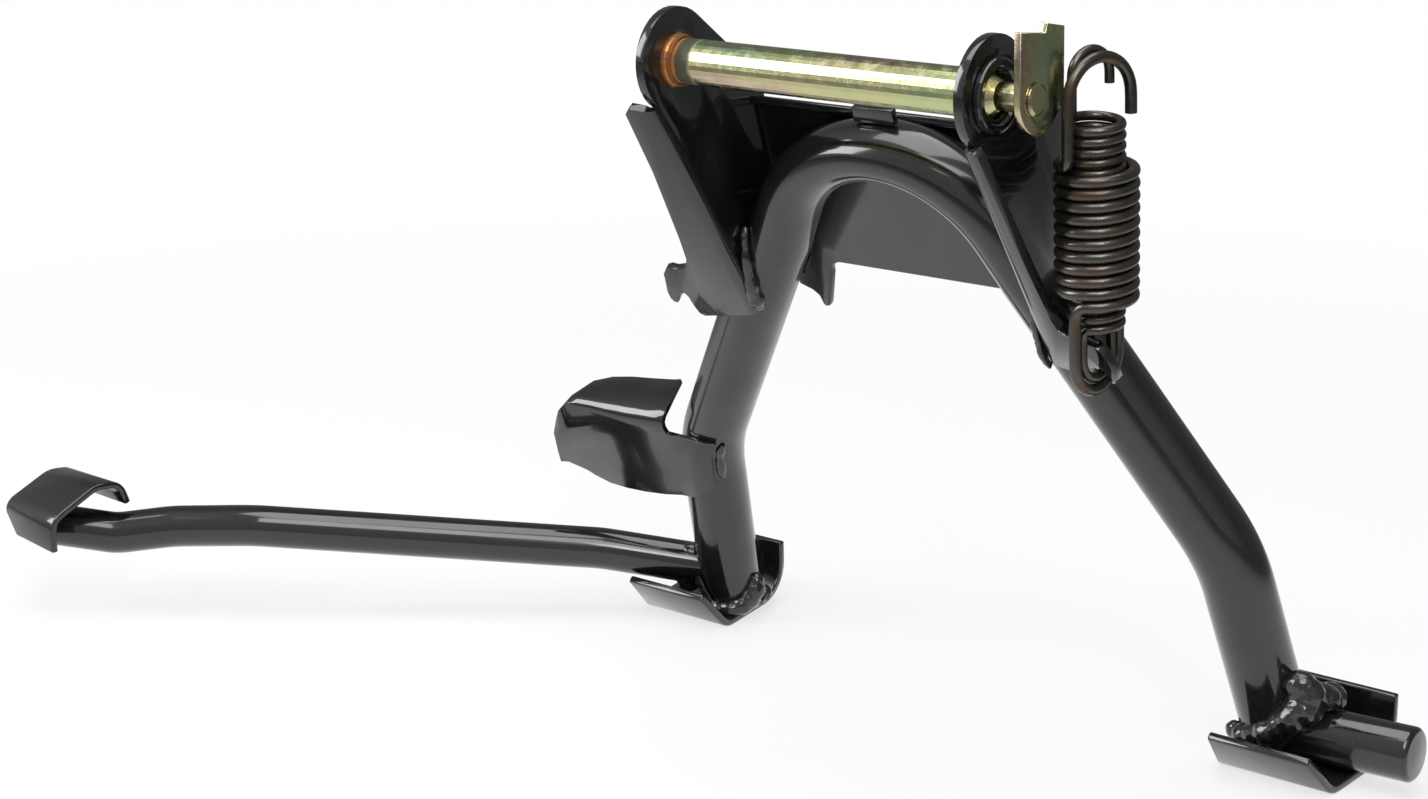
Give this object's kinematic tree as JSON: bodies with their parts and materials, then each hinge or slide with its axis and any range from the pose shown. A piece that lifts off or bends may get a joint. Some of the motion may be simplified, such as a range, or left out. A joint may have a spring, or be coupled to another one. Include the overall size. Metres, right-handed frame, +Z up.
{
  "type": "motorcycle centre stand",
  "caption": "Motorcycle centre stand: black bent-tube arch with pressed cheeks, pivot shaft, paired pull springs, foot shoes and a lever rod with a pad",
  "frame": {"origin": "centre of the pivot shaft's axis, midway between the two cheeks", "axes": "+X along the pivot shaft towards the springs and the keeper plate, +Z up, +Y from the shaft back over the feet, as the stand is in the picture"},
  "size_m": [0.5543, 0.2104, 0.2743],
  "materials": {
    "arch_tube_finish": "gloss black paint",
    "cross_web_finish": "gloss black paint",
    "left_cheek_finish": "gloss black paint",
    "right_cheek_finish": "gloss black paint",
    "right_bush_finish": "gloss black paint",
    "top_tab_finish": "gloss black paint",
    "left_shoe_finish": "gloss black paint",
    "right_shoe_finish": "gloss black paint",
    "right_peg_finish": "gloss black paint",
    "lever_rod_finish": "gloss black paint",
    "lever_pad_finish": "gloss black paint",
    "side_tang_finish": "gloss black paint",
    "left_foot_weld_finish": "gloss black paint",
    "right_foot_weld_finish": "gloss black paint",
    "stop_weld_finish": "gloss black paint",
    "tang_weld_finish": "gloss black paint",
    "left_cheek_weld_finish": "gloss black paint",
    "right_cheek_weld_finish": "gloss black paint",
    "left_bush_finish": "bare steel with an orange-brown stain",
    "pivot_shaft_finish": "yellow passivated zinc",
    "keeper_plate_finish": "yellow passivated zinc",
    "outer_spring_finish": "oiled spring steel",
    "inner_spring_finish": "oiled spring steel"
  },
  "bodies": {
    "stand": {"arch_tube": "arch_tube_finish", "cross_web": "cross_web_finish", "left_cheek": "left_cheek_finish", "right_cheek": "right_cheek_finish", "right_bush": "right_bush_finish", "top_tab": "top_tab_finish", "left_shoe": "left_shoe_finish", "right_shoe": "right_shoe_finish", "right_peg": "right_peg_finish", "lever_rod": "lever_rod_finish", "lever_pad": "lever_pad_finish", "side_tang": "side_tang_finish", "left_foot_weld": "left_foot_weld_finish", "right_foot_weld": "right_foot_weld_finish", "stop_weld": "stop_weld_finish", "tang_weld": "tang_weld_finish", "left_cheek_weld": "left_cheek_weld_finish", "right_cheek_weld": "right_cheek_weld_finish", "left_bush": "left_bush_finish"},
    "pivot": {"pivot_shaft": "pivot_shaft_finish", "keeper_plate": "keeper_plate_finish"},
    "springs": {"outer_spring": "outer_spring_finish", "inner_spring": "inner_spring_finish"}
  },
  "joints": [
    {"name": "shaft_turn", "type": "hinge", "parent": "stand", "child": "pivot", "pos_m": [0, 0, 0], "axis": [1, 0, 0], "range_deg": [0, 100]},
    {"name": "spring_swing", "type": "hinge", "parent": "stand", "child": "springs", "pos_m": [0.08852, 0.03387, -0.08851], "axis": [1, 0, 0], "range_deg": [-22, 1]}
  ]
}
